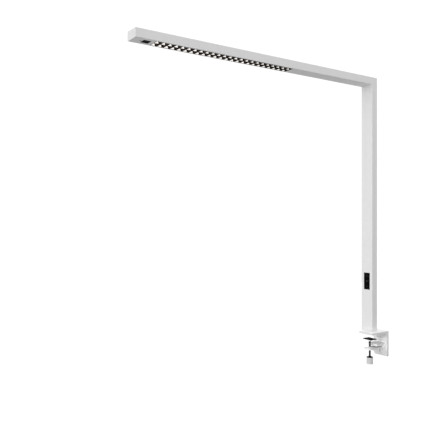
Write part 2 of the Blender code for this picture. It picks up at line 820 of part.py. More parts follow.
def jaw_fasteners():
    """Washer plate on the back leg's rear face and two screws into the jaw's web."""
    plate_front = BACK_REAR + GAP
    plate_t = 0.0025
    top = JAW_SCREW_HEIGHTS[0] + 0.007
    bottom = JAW_SCREW_HEIGHTS[1] - 0.007
    plate = block(
        "jaw_washer_plate",
        (plate_front, -0.010, bottom),
        (plate_front + plate_t, 0.010, top),
        zinc_steel(),
        0.0004,
    )
    screw_mat = zinc_steel()
    head_front = plate_front + plate_t + GAP
    head_t = 0.0028
    shank = head_front - (BACK_FRONT - GAP - JAW_WEB_T + 0.003)
    for i, z in enumerate(JAW_SCREW_HEIGHTS):
        cut_round(plate, JAW_SCREW_R + GAP, (plate_front - BEYOND, 0.0, z), THROUGH, "X")
        profile = [
            (0.0, -shank),
            (JAW_SCREW_R, -shank),
            (JAW_SCREW_R, 0.0),
            (0.0042, 0.0),
            (0.0042, 0.0016),
            (0.0034, head_t),
            (0.0016, head_t),
            (0.0016, 0.0010),
            (0.0, 0.0010),
        ]
        turned(f"jaw_screw_{i + 1}", profile, screw_mat, (head_front, 0.0, z), "X", 24)


def ball_arc(first_angle, last_angle, steps):
    """Points (radius, z) on the spindle's ball, angles from its lowest point."""
    points = []
    for i in range(steps + 1):
        angle = math.radians(first_angle + (last_angle - first_angle) * i / steps)
        points.append((BALL_R * math.sin(angle), BALL_Z - BALL_R * math.cos(angle)))
    return points


def spindle(mat):
    """Clamp screw: plain rod at the thread's outer diameter, with a ball at its top."""
    neck_angle = math.degrees(math.asin(NECK_R / BALL_R))
    shoulder_z = BALL_Z - 0.0045
    profile = [(0.0, KNOB_TOP - 0.016), (SPINDLE_R, KNOB_TOP - 0.016), (SPINDLE_R, shoulder_z)]
    profile += [(NECK_R, shoulder_z + 0.0010)]
    profile += ball_arc(neck_angle, 172, 8)
    profile += [(0.0, BALL_Z + BALL_R)]
    return turned("spindle", profile, mat)


def swivel_bush(mat):
    """Nylon ring round the ball: it carries the pad and lets the screw turn in it."""
    inner = BALL_R + GAP
    profile = [
        (inner, BALL_Z - 0.0012),
        (BUSH_R, BALL_Z - 0.0012),
        (BUSH_R, BALL_Z + 0.0012),
        (inner, BALL_Z + 0.0012),
    ]
    return turned("swivel_bush", profile, mat)


def pad_socket(mat):
    """Cup under the pressure pad that closes round the bush and the ball."""
    cavity_r = SOCKET_R - SOCKET_WALL
    lip_r = 0.0030
    chamfer = 0.0006
    top = PAD_TOP - PAD_FACING_T - GAP - PAD_T - GAP
    ceiling = top - SOCKET_WALL
    cavity_bottom = BALL_Z - 0.0018
    bottom = cavity_bottom - 0.0008
    profile = [
        (0.0, ceiling),
        (cavity_r, ceiling),
        (cavity_r, cavity_bottom),
        (lip_r, cavity_bottom),
        (lip_r, bottom),
        (SOCKET_R - chamfer, bottom),
        (SOCKET_R, bottom + chamfer),
        (SOCKET_R, top),
        (0.0, top),
    ]
    return turned("pad_socket", profile, mat)


def pressure_pad():
    half_x = PAD_LENGTH / 2
    half_y = PAD_WIDTH / 2
    facing_bottom = PAD_TOP - PAD_FACING_T
    pad_top = facing_bottom - GAP
    inset = 0.0015
    block(
        "pad_facing",
        (-half_x + inset, -half_y + inset, facing_bottom),
        (half_x - inset, half_y - inset, PAD_TOP),
        rubber(),
    )
    block(
        "pressure_pad",
        (-half_x, -half_y, pad_top - PAD_T),
        (half_x, half_y, pad_top),
        black_steel(),
        0.0006,
    )


def knob_and_collar():
    flange_r = 0.0125
    waist_r = 0.0078
    neck_r = 0.0052
    bore = SPINDLE_R + GAP
    collar_bottom = KNOB_TOP + GAP
    flange_top = collar_bottom + 0.0022
    collar = [
        (bore, collar_bottom),
        (flange_r, collar_bottom),
        (flange_r, flange_top),
        (flange_r - 0.0015, flange_top + 0.0006),
        (waist_r, flange_top + 0.0016),
        (neck_r, COLLAR_TOP - 0.0010),
        (neck_r - 0.0004, COLLAR_TOP),
        (bore, COLLAR_TOP),
    ]
    turned("knob_collar", collar, black_plastic())
    edge = 0.0012
    bottom = KNOB_TOP - KNOB_HEIGHT
    knob = [
        (0.0, bottom),
        (KNOB_R - edge, bottom),
        (KNOB_R, bottom + edge),
        (KNOB_R, KNOB_TOP - edge),
        (KNOB_R - edge, KNOB_TOP),
        (bore, KNOB_TOP),
        (bore, KNOB_TOP - 0.0163),
        (0.0, KNOB_TOP - 0.0163),
    ]
    turned("clamp_knob", knob, white_paint(), steps=48)


def wire(name, points, radius):
    """Round wire along a smooth curve through the given points."""
    curve = bpy.data.curves.new(name, "CURVE")
    curve.dimensions = "3D"
    curve.bevel_depth = radius
    curve.bevel_resolution = 1
    curve.use_fill_caps = True
    smooth_points = catmull_rom(points, 4)
    spline = curve.splines.new("POLY")
    spline.points.add(len(smooth_points) - 1)
    for target, point in zip(spline.points, smooth_points):
        target.co = (*point, 1.0)
    curve.materials.append(wire_sleeve())
    obj = bpy.data.objects.new(name, curve)
    bpy.context.collection.objects.link(obj)
    return obj


def catmull_rom(points, steps):
    """Sample a smooth curve through the points, with steps samples for each stretch."""
    knots = [Vector(p) for p in points]
    knots = [2 * knots[0] - knots[1]] + knots + [2 * knots[-1] - knots[-2]]
    samples = []
    for a, b, c, d in zip(knots, knots[1:], knots[2:], knots[3:]):
        for i in range(steps):
            t = i / steps
            samples.append(0.5 * (2 * b + (c - a) * t + (2 * a - 5 * b + 4 * c - d) * t ** 2
                                  + (3 * b - a - 3 * c + d) * t ** 3))
    samples.append(knots[-2])
    return samples


def wiring():
    """Leads inside the profile, from the inlet to the driver and on to each board."""
    bend_z = ARM_BOTTOM + 0.012
    middle_x = FOOT_SCREW_X
    column_zs = (PLATE_TOP + 0.014, 0.25, 0.50, 0.75, ARM_BOTTOM - 0.060)
    route = [(middle_x, WIRE_Y, z) for z in column_zs]
    route += [(middle_x - 0.004, WIRE_Y, ARM_BOTTOM - 0.012), (middle_x - 0.022, WIRE_Y, bend_z)]
    route += [(-0.060, WIRE_Y, bend_z + 0.001), (-0.140, WIRE_Y - 0.004, bend_z)]
    route += [(DRIVER_END + 0.0004, PROFILE_Y + 0.008, bend_z)]
    wire("supply_lead", route, 0.0022)
    board_z = ARM_BOTTOM + LOUVRE_DEPTH + OPTIC_T + 2 * GAP + BOARD_T / 2
    louvre_end = LOUVRE_START + LOUVRE_LENGTH
    led_route = [
        (DRIVER_START - 0.0004, PROFILE_Y, board_z),
        (louvre_end + 0.012, PROFILE_Y + 0.002, board_z),
        (louvre_end + 0.0004, PROFILE_Y, board_z),
    ]
    wire("led_lead", led_route, 0.0012)
    channel_z = ARM_TOP - PROFILE_WALL - 0.005
    sensor_z = ARM_BOTTOM + 0.0022 + 0.0045 + BOARD_T + 0.0018
    sensor_route = [(ARM_TIP + 0.040, PROFILE_Y, sensor_z), (ARM_TIP + 0.052, PROFILE_Y, sensor_z + 0.005)]
    sensor_route += [(LOUVRE_START - 0.004, PROFILE_Y, channel_z - 0.001)]
    sensor_route += [(LOUVRE_START + LOUVRE_LENGTH * i / 4, PROFILE_Y, channel_z) for i in (0, 1, 2, 3, 4)]
    sensor_route += [(DRIVER_START - 0.014, PROFILE_Y - 0.010, channel_z - 0.002)]
    sensor_route += [(DRIVER_START - 0.0004, PROFILE_Y - 0.012, channel_z - 0.008)]
    wire("sensor_lead", sensor_route, 0.0012)


def joint_origins():
    """Put each moving piece's origin on its joint's axis."""
    turning = ("spindle", "knob_collar", "clamp_knob")
    tilting = ("swivel_bush", "pad_socket", "pad_facing", "pressure_pad")
    for name in turning + tilting:
        set_origin(bpy.data.objects[name], (0.0, 0.0, BALL_Z))


def build():
    clear_scene()
    paint = white_paint()
    clamp_bracket(paint)
    desk_liner(rubber())
    column_foot()
    power_inlet()
    column_profile(paint)
    arm_profile(paint)
    arm_end_cap(paint)
    corner_joint()
    touch_controls()
    louvre_grid(black_plastic())
    light_engine()
    tip_sensors()
    led_driver()
    wiring()
    lower_jaw(paint)
    thread_insert(zinc_steel())
    jaw_fasteners()
    spindle(black_steel())
    swivel_bush(opal_optic())
    pad_socket(zinc_steel())
    pressure_pad()
    knob_and_collar()
    joint_origins()


build()
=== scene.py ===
"""Looks for the desk-clamped task lamp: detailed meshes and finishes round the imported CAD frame.

Metres, +Z up. The origin is where the clamp's liner rests on the desk, +X runs from
the lamp's tip to its column, and +Y runs along the desk's edge.
"""

import json
import math

import bmesh
import bpy
from mathutils import Matrix, Vector

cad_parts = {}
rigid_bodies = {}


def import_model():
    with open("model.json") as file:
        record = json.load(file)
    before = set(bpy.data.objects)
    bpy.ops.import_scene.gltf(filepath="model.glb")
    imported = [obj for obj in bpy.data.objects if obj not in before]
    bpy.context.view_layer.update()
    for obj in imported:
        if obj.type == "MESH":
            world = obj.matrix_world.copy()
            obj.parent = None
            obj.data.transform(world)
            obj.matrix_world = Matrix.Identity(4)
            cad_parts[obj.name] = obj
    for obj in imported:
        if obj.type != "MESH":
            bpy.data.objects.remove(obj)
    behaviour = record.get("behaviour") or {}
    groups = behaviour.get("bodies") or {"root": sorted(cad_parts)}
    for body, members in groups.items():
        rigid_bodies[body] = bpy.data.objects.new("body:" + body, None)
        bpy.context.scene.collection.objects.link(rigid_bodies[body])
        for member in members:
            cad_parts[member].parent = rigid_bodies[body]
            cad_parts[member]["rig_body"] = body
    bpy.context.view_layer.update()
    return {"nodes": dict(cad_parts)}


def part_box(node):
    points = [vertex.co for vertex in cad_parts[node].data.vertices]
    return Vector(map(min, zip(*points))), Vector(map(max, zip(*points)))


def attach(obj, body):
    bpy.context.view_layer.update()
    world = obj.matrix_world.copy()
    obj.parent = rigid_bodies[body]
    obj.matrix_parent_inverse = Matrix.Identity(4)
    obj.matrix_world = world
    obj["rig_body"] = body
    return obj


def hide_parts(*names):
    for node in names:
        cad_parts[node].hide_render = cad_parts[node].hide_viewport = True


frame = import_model()
nodes = frame["nodes"]

# Sizes that the CAD boxes give
ARM_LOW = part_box("arm_profile")[0]
COLUMN_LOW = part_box("column_profile")[0]
LOUVRE_LOW, LOUVRE_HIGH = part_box("louvre_grid")
SPINDLE_LOW, SPINDLE_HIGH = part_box("spindle")
KNOB_LOW, KNOB_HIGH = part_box("clamp_knob")
COLLAR_LOW, COLLAR_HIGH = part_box("knob_collar")
FACING_LOW, FACING_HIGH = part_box("pad_facing")
PANEL_LOW, PANEL_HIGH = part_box("touch_panel")

ROUND = 48                     # sides of a turned piece

# Rounding of the pieces' edges
EXTRUSION_EDGE = 0.00035
CASTING_EDGE = 0.0006
BLOCK_EDGE = 0.0004
PLATE_EDGE = 0.0003
THIN_EDGE = 0.0002
NYLON_EDGE = 0.00015
SHARP_EDGE = math.radians(30)  # an edge that turns by less isn't rounded

# Louvre
CELL_COUNT = 24
CELL_ROWS = 2
BLADE_HALF = 0.0042            # half the width of a cross blade just above its rounded edge
THROAT_HALF = 0.0018           # half the opening that two blades leave for the light
THROAT_LEVEL = 0.0098          # height of that throat above the blades' edges
BLADE_NOSE = 0.0008            # rounding of a blade's lower edge
BLADE_LIFT = 0.0003            # how far a blade's edge is above the louvre's underside
RAIL_WIDTH = 0.0013
RAIL_DEPTH = 0.0016
RIB_WIDTH = 0.0016
RIB_STRIP_LAP = 0.0003         # how far the dark strip stands out past each side of the rib
RIB_STRIP_DEPTH = 0.0014
RIB_STRIP_EDGE = 0.0005
REFLECTOR_CURVE = 0.0050       # how far a reflector leans in at its top
REFLECTOR_GAP = 0.0002         # between the reflectors and the louvre's box

# Clamp screw
THREAD_PITCH = 0.00125
THREAD_DEPTH = 0.00077
THREAD_SINK = 0.0006           # how far inside the collar the thread ends
THREAD_STEPS = 36              # points round the thread
ROWS_PER_TURN = 6              # rings to one turn of the thread
SPINDLE_R = 0.004
SPINDLE_BORE = SPINDLE_R + 0.0003
BALL_R = 0.0030
NECK_R = 0.0019
SHOULDER_BELOW_BALL = 0.0045

# Knob and collar
KNOB_FLUTES = 12
FLUTE_DEPTH = 0.00035
KNOB_STEPS = 144
KNOB_EDGE = 0.0012
KNOB_SOCKET_DEPTH = 0.0163
COLLAR_NECK = 0.0052

# Pad
PAD_RIBS = 13
PAD_GROOVE = 0.0004

# Studio
FLOOR_LEVEL = -0.74            # a room's floor under a desk
FLOOR_SIZE = 60.0

CAMERA_PLACE = (-1.815, -1.564, 0.470)
CAMERA_DIRECTION = (0.5635, 0.8261, 0.0)
CAMERA_LENS = 45.9

# Large disc on the near side of the lamp
KEY_PLACE = (-0.6, -1.9, 1.5)
KEY_TARGET = (-0.3, 0.0, 0.8)
KEY_SIZE = 1.4
KEY_POWER = 7.6

# Thin level ellipse with a narrow beam, which lights the inside of the clamp
FILL_PLACE = (-0.34, 0.0, -0.033)
FILL_TARGET = (0.06, 0.0, -0.040)
FILL_WIDTH = 0.24
FILL_HEIGHT = 0.03
FILL_SPREAD = math.radians(10)
FILL_POWER = 0.009

BACKDROP = 1.05                # strength of the white behind the object
AMBIENT = 0.22
# Soft boxes far away: direction towards each, how tightly it is gathered, and its strength
SOFT_BOXES = (
    ((0.0, 0.0, 1.0), 1.0, 1.24),
    ((-0.30, -0.20, -1.0), 8.0, 0.62),
    ((-0.96, -0.25, 0.12), 12.0, 0.25),
    ((1.0, 0.0, 0.0), 1.0, 0.03),
    ((0.0, 1.0, 0.0), 1.0, 0.40),
    ((-0.97, -0.24, -0.05), 20.0, 2.20),
    ((-1.0, 0.0, 0.20), 40.0, 0.30),
    ((-1.0, 0.15, -0.08), 40.0, 1.60),
)


# ---------------------------------------------------------------- finishes

NOISE_ROUGHNESS = 0.55
NOISE_LOW = 0.3
NOISE_HIGH = 0.7
BROAD_SHARE = 0.03             # scale of the colour's variation, as a share of the grain's
PATCH_SHARE = 0.4              # scale of the roughness's variation, as a share of the grain's

# Sockets of a Mix node that mixes colours
MIX_FACTOR = 0
MIX_FIRST = 6
MIX_SECOND = 7
MIX_RESULT = 2


def tree_and_links(mat):
    return mat.node_tree.nodes, mat.node_tree.links


def new_material(name, sockets):
    mat = bpy.data.materials.new(name)
    mat.use_nodes = True
    shader = mat.node_tree.nodes["Principled BSDF"]
    for socket, value in sockets.items():
        shader.inputs[socket].default_value = value
    return mat, shader


def object_coordinates(mat, stretch):
    tree, links = tree_and_links(mat)
    coordinates = tree.new("ShaderNodeTexCoord")
    mapping = tree.new("ShaderNodeMapping")
    mapping.inputs["Scale"].default_value = stretch
    links.new(coordinates.outputs["Object"], mapping.inputs["Vector"])
    return mapping.outputs["Vector"]


def noise(mat, vector, scale, detail=3.0):
    tree, links = tree_and_links(mat)
    node = tree.new("ShaderNodeTexNoise")
    node.inputs["Scale"].default_value = scale
    node.inputs["Detail"].default_value = detail
    node.inputs["Roughness"].default_value = NOISE_ROUGHNESS
    links.new(vector, node.inputs["Vector"])
    return node.outputs["Fac"]


def grains(mat, vector, scale):
    """Small rounded grains, as a moulding tool's texture leaves."""
    tree, links = tree_and_links(mat)
    node = tree.new("ShaderNodeTexVoronoi")
    node.feature = "SMOOTH_F1"
    node.inputs["Scale"].default_value = scale
    node.inputs["Smoothness"].default_value = 0.6
    links.new(vector, node.inputs["Vector"])
    return node.outputs["Distance"]


def remap(mat, value, low, high):
    """Stretch the range that a noise mostly lies in to low and high."""
    tree, links = tree_and_links(mat)
    node = tree.new("ShaderNodeMapRange")
    node.inputs["From Min"].default_value = NOISE_LOW
    node.inputs["From Max"].default_value = NOISE_HIGH
    node.inputs["To Min"].default_value = low
    node.inputs["To Max"].default_value = high
    links.new(value, node.inputs["Value"])
    return node.outputs["Result"]


def tint(mat, factor, first, second):
    """Mix two colours, dark to light, by a factor."""
    tree, links = tree_and_links(mat)
    node = tree.new("ShaderNodeMix")
    node.data_type = "RGBA"
    node.inputs[MIX_FIRST].default_value = (*first, 1.0)
    node.inputs[MIX_SECOND].default_value = (*second, 1.0)
    links.new(factor, node.inputs[MIX_FACTOR])
    return node.outputs[MIX_RESULT]


def relief(mat, shader, height, strength, distance):
    tree, links = tree_and_links(mat)
    node = tree.new("ShaderNodeBump")
    node.inputs["Strength"].default_value = strength
    node.inputs["Distance"].default_value = distance
    links.new(height, node.inputs["Height"])
    links.new(node.outputs["Normal"], shader.inputs["Normal"])


def finish(name, colour, shade, rough, grain, bump, stretch=(1.0, 1.0, 1.0), moulded=False, **sockets):
    """Material with broad colour variation, and fine grain in its roughness and its relief.

    shade is the colour's variation, rough its lowest and highest roughness, grain the
    number of grains to the metre, and bump the relief's strength and depth.
    """
    named = {key.replace("_", " "): value for key, value in sockets.items()}
    mat, shader = new_material(name, named)
    links = tree_and_links(mat)[1]
    vector = object_coordinates(mat, stretch)
    broad = noise(mat, vector, grain * BROAD_SHARE, 4.0)
    fine = grains(mat, vector, grain) if moulded else noise(mat, vector, grain)
    dark = tuple(c * (1 - shade) for c in colour)
    light = tuple(min(1.0, c * (1 + shade)) for c in colour)
    links.new(tint(mat, remap(mat, broad, 0.0, 1.0), dark, light), shader.inputs["Base Color"])
    links.new(remap(mat, noise(mat, vector, grain * PATCH_SHARE), *rough), shader.inputs["Roughness"])
    relief(mat, shader, fine, *bump)
    return mat


def board_finish(name, mask, copper):
    """Solder mask over tracks, with the tracks standing slightly proud."""
    mat, shader = new_material(name, {"Coat Weight": 0.35})
    tree, links = tree_and_links(mat)
    vector = object_coordinates(mat, (1.0, 1.0, 1.0))
    tracks = tree.new("ShaderNodeTexBrick")
    tracks.inputs["Scale"].default_value = 60.0
    tracks.inputs["Mortar Size"].default_value = 0.012
    tracks.inputs["Color1"].default_value = (*mask, 1.0)
    tracks.inputs["Color2"].default_value = (*(c * 0.9 for c in mask), 1.0)
    tracks.inputs["Mortar"].default_value = (*copper, 1.0)
    links.new(vector, tracks.inputs["Vector"])
    links.new(tracks.outputs["Color"], shader.inputs["Base Color"])
    links.new(remap(mat, noise(mat, vector, 700.0), 0.25, 0.42), shader.inputs["Roughness"])
    relief(mat, shader, tracks.outputs["Fac"], 0.4, 0.00005)
    return mat


MATERIALS = {
    "white_paint": finish(
        "white_powder_coat", (0.804, 0.801, 0.803), 0.012, (0.40, 0.50), 1500.0, (0.10, 0.00004),
        Specular_IOR_Level=0.35),
    "knob_plastic": finish(
        "knob_moulding", (0.645, 0.645, 0.648), 0.02, (0.42, 0.56), 2600.0, (0.12, 0.00004), moulded=True,
        Specular_IOR_Level=0.35),
    "driver_case": finish(
        "driver_moulding", (0.78, 0.78, 0.77), 0.02, (0.5, 0.62), 2200.0, (0.2, 0.00005), moulded=True),
    "rubber": finish(
        "black_rubber", (0.016, 0.016, 0.017), 0.25, (0.72, 0.88), 1400.0, (0.35, 0.00008), moulded=True,
        Specular_IOR_Level=0.15),
    "black_plastic": finish(
        "black_moulding", (0.006, 0.006, 0.0065), 0.2, (0.34, 0.48), 2400.0, (0.18, 0.00005), moulded=True,
        Specular_IOR_Level=0.06),
    "black_glass": finish(
        "black_glass", (0.0025, 0.0025, 0.003), 0.3, (0.05, 0.11), 300.0, (0.02, 0.00002),
        Specular_IOR_Level=0.035),
    "window_black": finish(
        "sensor_window_black", (0.0015, 0.0015, 0.002), 0.3, (0.08, 0.16), 300.0, (0.02, 0.00002),
        Specular_IOR_Level=0.004),
    "touch_mark": finish(
        "touch_mark_ink", (0.055, 0.055, 0.052), 0.08, (0.35, 0.45), 3000.0, (0.05, 0.00002),
        Specular_IOR_Level=0.15),
    # The reflectors' emission is painted light: a steady ivory glow that stands in for the LEDs' light
    # falling on them, though the reflectors are no lamp
    "reflector": finish(
        "reflector_coating_painted_glow", (0.93, 0.92, 0.90), 0.01, (0.24, 0.32), 900.0, (0.05, 0.00003),
        stretch=(0.04, 1.0, 1.0), Emission_Color=(1.0, 0.968, 0.930, 1.0), Emission_Strength=0.72),
    "louvre_blade": finish(
        "louvre_black", (0.0200, 0.0138, 0.0090), 0.12, (0.42, 0.52), 1300.0, (0.08, 0.00003),
        Specular_IOR_Level=0.02),
    "louvre_rail": finish(
        "louvre_rail_white", (0.84, 0.84, 0.84), 0.01, (0.35, 0.45), 1500.0, (0.08, 0.00003)),
    "opal_optic": finish(
        "opal_diffuser", (0.96, 0.95, 0.91), 0.01, (0.35, 0.5), 1200.0, (0.25, 0.00006), moulded=True,
        Emission_Color=(1.0, 0.97, 0.92, 1.0), Emission_Strength=2.4),
    "nylon": finish(
        "natural_nylon", (0.80, 0.78, 0.70), 0.03, (0.35, 0.5), 1500.0, (0.15, 0.00004),
        Subsurface_Weight=0.1),
    "led_board": board_finish("led_board_mask", (0.80, 0.82, 0.80), (0.68, 0.70, 0.66)),
    "circuit_board": board_finish("circuit_board_mask", (0.015, 0.13, 0.055), (0.03, 0.24, 0.09)),
    "bare_aluminium": finish(
        "mill_aluminium", (0.72, 0.73, 0.74), 0.05, (0.28, 0.42), 1600.0, (0.2, 0.00004),
        stretch=(1.0, 1.0, 0.03), Metallic=1.0),
    "zinc_steel": finish(
        "zinc_plate", (0.74, 0.74, 0.73), 0.06, (0.26, 0.40), 2200.0, (0.12, 0.00003), Metallic=0.6),
    "black_steel": finish(
        "black_oxide", (0.006, 0.006, 0.0065), 0.25, (0.26, 0.42), 2000.0, (0.15, 0.00004),
        Specular_IOR_Level=0.05),
    "wire_sleeve": finish(
        "wire_sleeve", (0.045, 0.045, 0.05), 0.12, (0.45, 0.6), 1500.0, (0.2, 0.00004)),
}


# ---------------------------------------------------------------- mesh tools

def add_piece(name, bm, slot, body, replaced=(), sharp=35.0, finish_name=None, weighted=False):
    """Turn bm into a shown piece that rides on a body, in the finish of a record slot."""
    bmesh.ops.recalc_face_normals(bm, faces=bm.faces)
    mesh = bpy.data.meshes.new(name)
    bm.to_mesh(mesh)
    bm.free()
    mesh.materials.append(MATERIALS[finish_name or slot])
    mesh.shade_smooth()
    mesh.set_sharp_from_angle(angle=math.radians(sharp))
    piece = bpy.data.objects.new(name, mesh)
    bpy.context.scene.collection.objects.link(piece)
    if weighted:
        modifier = piece.modifiers.new("face_weighted", "WEIGHTED_NORMAL")
        modifier.weight = 100
        modifier.keep_sharp = True
    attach(piece, body)
    if replaced:
        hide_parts(*replaced)


def node_mesh(node):
    """The CAD node's mesh as flat faces, without the triangles' inner edges."""
    bm = bmesh.new()
    bm.from_mesh(nodes[node].data)
    bmesh.ops.remove_doubles(bm, verts=bm.verts, dist=0.000003)
    bmesh.ops.dissolve_limit(bm, angle_limit=math.radians(0.5), verts=bm.verts, edges=bm.edges)
    return bm


def body_of(node):
    return nodes[node]["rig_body"]


def refine(node, name, slot, bevel, segments=2, shift=None, skip=None, finish_name=None):
    """Replace a CAD node with a copy of it whose sharp edges are rounded.

    shift moves a point of the copy, and skip is true for an edge that stays square.
    """
    bm = node_mesh(node)
    if shift:
        for vert in bm.verts:
            vert.co = shift(vert.co)
    edges = [
        edge for edge in bm.edges
        if len(edge.link_faces) == 2
        and edge.calc_face_angle(0.0) > SHARP_EDGE
        and not (skip and skip(edge))
    ]
    bmesh.ops.bevel(
        bm, geom=edges, offset=bevel, segments=segments, profile=0.5, affect="EDGES", clamp_overlap=True)
    add_piece(
        name, bm, slot, body_of(node), replaced=(node,), finish_name=finish_name, weighted=True)


def join_rings(bm, first, second):
    """Faces between two closed rings of equal length, or between a ring and one point."""
    count = max(len(first), len(second))
    for i in range(count):
        j = (i + 1) % count
        corners = [
            first[i % len(first)],
            first[j % len(first)],
            second[j % len(second)],
            second[i % len(second)],
        ]
        unique = list(dict.fromkeys(corners))
        if len(unique) > 2:
            bm.faces.new(unique)


def ring_at(bm, height, radius_at, steps):
    """One ring about Z. radius_at(angle) gives the radius, or it is a plain number."""
    if radius_at == 0.0:
        return [bm.verts.new((0.0, 0.0, height))]
    points = []
    for i in range(steps):
        angle = 2 * math.pi * i / steps
        radius = radius_at(angle) if callable(radius_at) else radius_at
        points.append(bm.verts.new((radius * math.cos(angle), radius * math.sin(angle), height)))
    return points


def lathe(stations, steps=ROUND, closed=False):
    """Body about Z through (radius, height) stations. closed joins the last to the first."""
    bm = bmesh.new()
    rings = [ring_at(bm, height, radius, steps) for radius, height in stations]
    pairs = list(zip(rings, rings[1:]))
    if closed:
        pairs.append((rings[-1], rings[0]))
    for first, second in pairs:
        join_rings(bm, first, second)
    return bm


def arc(centre_r, centre_z, radius, first, last, steps=4):
    """(radius, height) points round an arc, with angles in degrees from +radius."""
    angles = [math.radians(first + (last - first) * i / steps) for i in range(steps + 1)]
    return [(centre_r + radius * math.cos(a), centre_z + radius * math.sin(a)) for a in angles]


def move(bm, offset, turn=None):
    if turn is not None:
        bmesh.ops.rotate(bm, verts=bm.verts, cent=(0, 0, 0), matrix=turn)
    bmesh.ops.translate(bm, verts=bm.verts, vec=offset)
    return bm


def loft(bm, sections):
    """Closed body through sections, each a list of points with the same count."""
    rings = [[bm.verts.new(point) for point in section] for section in sections]
    for first, second in zip(rings, rings[1:]):
        join_rings(bm, first, second)
    bm.faces.new(rings[0])
    bm.faces.new(rings[-1])
    return bm


def extrude_x(bm, outline, low, high):
    """Closed bar along X with a (y, z) outline."""
    return loft(bm, [[(x, y, z) for y, z in outline] for x in (low, high)])


# ---------------------------------------------------------------- arm and column

MITRE_OFFSET = COLUMN_LOW.x - ARM_LOW.z       # x minus z on the mitre's plane
MITRE_REACH = 0.0009                          # how near to that plane a point belongs to the mitre
CORNER_MARGIN = 0.001
TIP_MARGIN = 0.0001
SEAM = 0.00028                                # closes the CAD clearance to a hairline
CAP_THICKNESS = 0.0029                        # the end cap's spigot starts behind this


def in_corner(point):
    return point.x > COLUMN_LOW.x - CORNER_MARGIN and point.z > ARM_LOW.z - CORNER_MARGIN


def on_mitre(point):
    return in_corner(point) and abs(point.x - point.z - MITRE_OFFSET) < MITRE_REACH


def at_tip(point):
    return point.x < ARM_LOW.x + TIP_MARGIN


def close_arm(point):
    if on_mitre(point):
        return point + Vector((SEAM, 0.0, 0.0))
    if at_tip(point):
        return point - Vector((SEAM * 0.9, 0.0, 0.0))
    return point


def close_column(point):
    if on_mitre(point):
        return point + Vector((0.0, 0.0, SEAM))
    return point


def at_tube_end(edge):
    """Edges in the corner and at the arm's open tip stay square, so that the joints close."""
    return all(in_corner(vert.co) or at_tip(vert.co) for vert in edge.verts)


def arm_and_column():
    refine("arm_profile", "arm_shell", "white_paint", EXTRUSION_EDGE, shift=close_arm, skip=at_tube_end)
    refine(
        "column_profile", "column_shell", "white_paint", EXTRUSION_EDGE, shift=close_column, skip=at_tube_end)
    spigot_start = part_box("arm_end_cap")[0].x + CAP_THICKNESS

    def on_spigot(edge):
        return any(vert.co.x > spigot_start for vert in edge.verts)

    refine("arm_end_cap", "arm_end_plate", "white_paint", PLATE_EDGE, skip=on_spigot)


# ---------------------------------------------------------------- louvre

LOUVRE_HEIGHT = LOUVRE_HIGH.z - LOUVRE_LOW.z
ROW_LOW = LOUVRE_LOW.y + RAIL_WIDTH
ROW_PITCH = (LOUVRE_HIGH.y - LOUVRE_LOW.y - 2 * RAIL_WIDTH + RIB_WIDTH) / CELL_ROWS
ROW_WIDTH = ROW_PITCH - RIB_WIDTH
CELL_PITCH = (LOUVRE_HIGH.x - LOUVRE_LOW.x) / CELL_COUNT
LOUVRE_START = LOUVRE_LOW.x + RAIL_WIDTH
LOUVRE_END = LOUVRE_HIGH.x - RAIL_WIDTH
# Heights of the louvre's sections, closer together where a blade curves most
LEVELS = [
    0.0, 0.0003, 0.0008, 0.0016, 0.0028, 0.0040, 0.0052, 0.0064, 0.0075, 0.0085, 0.0092,
    THROAT_LEVEL, LOUVRE_HEIGHT,
]


def lean(level):
    """How far a reflector has curved in at a height above its edge."""
    return REFLECTOR_CURVE * (level / LOUVRE_HEIGHT) ** 1.7


def blade_half(level):
    """Half width of a cross blade, whose flanks close in towards the light like a cup's walls."""
    below_nose = max(0.0, BLADE_NOSE - level)
    rounding = BLADE_NOSE - math.sqrt(BLADE_NOSE ** 2 - below_nose ** 2)
    wide = CELL_PITCH / 2 - BLADE_HALF
    share = math.sqrt(max(0.0, 1 - (level / THROAT_LEVEL) ** 2))
    opening = THROAT_HALF + (wide - THROAT_HALF) * share
    return CELL_PITCH / 2 - opening - rounding


def row_edges(row):
    low = ROW_LOW + row * ROW_PITCH
    return low, low + ROW_WIDTH


def side_wall(outer, inner, way, levels, base):
    """(y, z) outline of a reflector by a rail. way is +1 where it leans towards +Y, and -1 otherwise."""
    foot = base + RAIL_DEPTH
    wall = [(inner + way * lean(level), base + level) for level in levels]
    outline = [(outer + way * REFLECTOR_GAP, wall[-1][1]), (outer + way * REFLECTOR_GAP, foot), (inner, foot)]
    return outline + [point for point in wall if point[1] > foot]


def reflectors():
    """Long curved walls: one by each rail, and a rib with two curved flanks between the rows."""
    bm = bmesh.new()
    base = LOUVRE_LOW.z + REFLECTOR_GAP
    levels = LEVELS[:-1] + [LOUVRE_HEIGHT - REFLECTOR_GAP]
    first_low, first_high = row_edges(0)
    second_low, second_high = row_edges(1)
    extrude_x(bm, side_wall(LOUVRE_LOW.y, first_low, 1, levels, base), LOUVRE_START, LOUVRE_END)
    extrude_x(bm, side_wall(LOUVRE_HIGH.y, second_high, -1, levels, base), LOUVRE_START, LOUVRE_END)
    rib = [(first_high - lean(level), base + level) for level in levels]
    rib += [(second_low + lean(level), base + level) for level in reversed(levels)]
    extrude_x(bm, rib, LOUVRE_START, LOUVRE_END)
    # Their finish glows with painted light, which stands in for the LEDs' light on the reflectors
    add_piece("louvre_reflectors", bm, "reflector", "stand", sharp=50.0)


